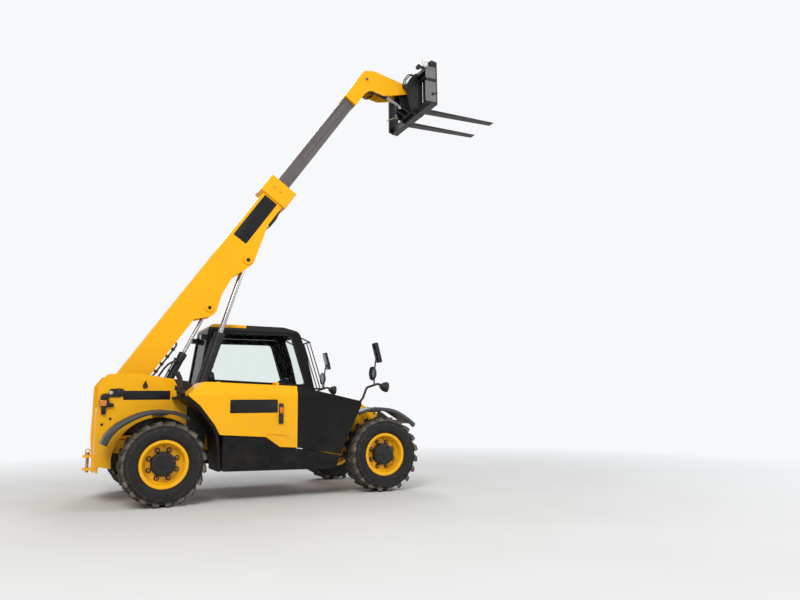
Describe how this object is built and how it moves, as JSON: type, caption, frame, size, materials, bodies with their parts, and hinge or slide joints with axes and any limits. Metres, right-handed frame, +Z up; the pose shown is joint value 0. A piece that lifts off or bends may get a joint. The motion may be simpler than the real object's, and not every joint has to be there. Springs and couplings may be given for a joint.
{
  "type": "telehandler",
  "caption": "Compact telehandler with a raised telescopic boom, pallet forks on a tilting carriage, a side cab, an engine pod and all-wheel steering.",
  "frame": {"origin": "centre of the bounding box's base, on the ground with the boom as stored", "axes": "+X forwards towards the forks, +Y to the operator's left, +Z up"},
  "size_m": [5.1924, 1.8356, 5.5799],
  "materials": {
    "tyre": "matt worn rubber",
    "rim": "gloss warm yellow",
    "axle": "satin black",
    "yellow": "gloss warm yellow",
    "pin": "turned steel",
    "frame_black": "satin black",
    "ram_barrel": "satin black",
    "chrome": "hard chrome",
    "wear_pad": "worn nylon",
    "inner_boom": "greasy grey-brown",
    "forks": "worn black",
    "black_panel": "satin black",
    "engine": "cast",
    "exhaust": "heat stained",
    "glass": "clear tinted",
    "trim": "grained",
    "seat": "woven",
    "lamp": "clear and amber lenses in black bodies",
    "hose": "matt"
  },
  "bodies": {
    "machine": {"axle_front": "axle", "axle_rear": "axle", "chassis": "yellow", "front_frame": "yellow", "boom_pivot_pin": "pin", "ram_mounts": "frame_black", "pod_front": "black_panel", "pod_sill": "black_panel", "engine_bulkhead": "yellow", "engine": "engine", "arch_panel": "black_panel", "exhaust": "exhaust", "mudguards": "black_panel", "tow_hitch": "frame_black", "tow_pin": "pin", "cab_frame": "black_panel", "cab_roof": "yellow", "cab_glass": "glass", "seat_base": "trim", "seat_cushion": "seat", "seat_back": "seat", "dashboard": "trim", "steering_wheel": "trim", "windscreen_guard": "black_panel", "fuel_tank": "black_panel", "headlamps": "lamp", "mirrors": "trim", "rear_lamps": "lamp"},
    "door": {"cab_door": "black_panel", "door_glass": "glass"},
    "cover": {"engine_cover": "yellow"},
    "boom": {"boom_outer": "yellow", "boom_collar": "yellow", "wear_pads": "wear_pad", "boom_hoses": "hose"},
    "extension": {"boom_inner": "inner_boom", "boom_head": "yellow", "head_pins": "pin", "head_hoses": "hose"},
    "carriage": {"carriage": "frame_black", "forks": "forks"},
    "lift_barrel": {"lift_ram_barrel": "ram_barrel"},
    "lift_rod": {"lift_ram_rod": "chrome"},
    "slave_barrel": {"slave_ram_barrel": "ram_barrel"},
    "slave_rod": {"slave_ram_rod": "chrome"},
    "tilt_barrel": {"tilt_ram_barrel": "ram_barrel"},
    "tilt_rod": {"tilt_ram_rod": "chrome"},
    "hub_front_left": {"knuckle_front_left": "axle"},
    "wheel_front_left": {"rim_front_left": "rim", "tyre_front_left": "tyre"},
    "hub_front_right": {"knuckle_front_right": "axle"},
    "wheel_front_right": {"rim_front_right": "rim", "tyre_front_right": "tyre"},
    "hub_rear_left": {"knuckle_rear_left": "axle"},
    "wheel_rear_left": {"rim_rear_left": "rim", "tyre_rear_left": "tyre"},
    "hub_rear_right": {"knuckle_rear_right": "axle"},
    "wheel_rear_right": {"rim_rear_right": "rim", "tyre_rear_right": "tyre"}
  },
  "joints": [
    {"name": "steer_front_left", "type": "hinge", "parent": "machine", "child": "hub_front_left", "pos_m": [0.52584, 0.6, 0.415], "axis": [0, 0, 1], "range_deg": [-30, 30]},
    {"name": "spin_front_left", "type": "hinge", "parent": "hub_front_left", "child": "wheel_front_left", "pos_m": [0.52584, 0.7675, 0.415], "axis": [0, 1, 0], "continuous": true},
    {"name": "steer_front_right", "type": "hinge", "parent": "machine", "child": "hub_front_right", "pos_m": [0.52584, -0.6, 0.415], "axis": [0, 0, 1], "range_deg": [-30, 30]},
    {"name": "spin_front_right", "type": "hinge", "parent": "hub_front_right", "child": "wheel_front_right", "pos_m": [0.52584, -0.7675, 0.415], "axis": [0, 1, 0], "continuous": true},
    {"name": "steer_rear_left", "type": "hinge", "parent": "machine", "child": "hub_rear_left", "pos_m": [-1.89416, 0.6, 0.415], "axis": [0, 0, 1], "range_deg": [-30, 30]},
    {"name": "spin_rear_left", "type": "hinge", "parent": "hub_rear_left", "child": "wheel_rear_left", "pos_m": [-1.89416, 0.7675, 0.415], "axis": [0, 1, 0], "continuous": true},
    {"name": "steer_rear_right", "type": "hinge", "parent": "machine", "child": "hub_rear_right", "pos_m": [-1.89416, -0.6, 0.415], "axis": [0, 0, 1], "range_deg": [-30, 30]},
    {"name": "spin_rear_right", "type": "hinge", "parent": "hub_rear_right", "child": "wheel_rear_right", "pos_m": [-1.89416, -0.7675, 0.415], "axis": [0, 1, 0], "continuous": true},
    {"name": "boom_lift", "type": "hinge", "parent": "machine", "child": "boom", "pos_m": [-2.28416, 0, 1.13], "axis": [0, -1, 0], "range_deg": [-58, 10]},
    {"name": "boom_extend", "type": "slide", "parent": "boom", "child": "extension", "axis": [0.5736, 0, 0.8192], "range_m": [-1.48, 0.12]},
    {"name": "carriage_tilt", "type": "hinge", "parent": "extension", "child": "carriage", "pos_m": [1.22086, 0, 5.35462], "axis": [0, -1, 0], "range_deg": [-45, 60]},
    {"name": "lift_ram_turn", "type": "hinge", "parent": "machine", "child": "lift_barrel", "pos_m": [-1.56916, 0, 0.66], "axis": [0, -1, 0], "range_deg": [-63.14, 11.3]},
    {"name": "lift_ram_stroke", "type": "slide", "parent": "lift_barrel", "child": "lift_rod", "axis": [0.3056, 0, 0.9522], "range_m": [-0.7986, 0.1418]},
    {"name": "slave_ram_turn", "type": "hinge", "parent": "machine", "child": "slave_barrel", "pos_m": [-1.93416, 0, 0.9], "axis": [0, -1, 0], "range_deg": [-63.14, 11.3]},
    {"name": "slave_ram_stroke", "type": "slide", "parent": "slave_barrel", "child": "slave_rod", "axis": [0.4361, 0, 0.8999], "range_m": [-0.3795, 0.0696]},
    {"name": "tilt_ram_turn", "type": "hinge", "parent": "extension", "child": "tilt_barrel", "pos_m": [0.65805, 0, 5.35806], "axis": [0, -1, 0], "range_deg": [-9.5, 12.5]},
    {"name": "tilt_ram_stroke", "type": "slide", "parent": "tilt_barrel", "child": "tilt_rod", "axis": [0.9327, 0, -0.3608], "range_m": [-0.1464, 0.1935]},
    {"name": "door_swing", "type": "hinge", "parent": "machine", "child": "door", "pos_m": [-1.23216, 0.894, 1.1], "axis": [0, 0, 1], "range_deg": [0, 85]},
    {"name": "cover_lift", "type": "hinge", "parent": "machine", "child": "cover", "pos_m": [-0.98416, -0.4125, 1.238], "axis": [-1, 0, 0], "range_deg": [0, 60]}
  ],
  "couplings": [
    {"joint": "steer_front_right", "follows": "steer_front_left", "ratio": 1},
    {"joint": "steer_rear_right", "follows": "steer_rear_left", "ratio": 1},
    {"joint": "lift_ram_turn", "follows": "boom_lift", "ratio": 1.08},
    {"joint": "lift_ram_stroke", "follows": "boom_lift", "m_per_rad": 0.784},
    {"joint": "slave_ram_turn", "follows": "boom_lift", "ratio": 1.08},
    {"joint": "slave_ram_stroke", "follows": "boom_lift", "m_per_rad": 0.37},
    {"joint": "tilt_ram_turn", "follows": "carriage_tilt", "ratio": 0.2},
    {"joint": "tilt_ram_stroke", "follows": "carriage_tilt", "m_per_rad": 0.18}
  ]
}
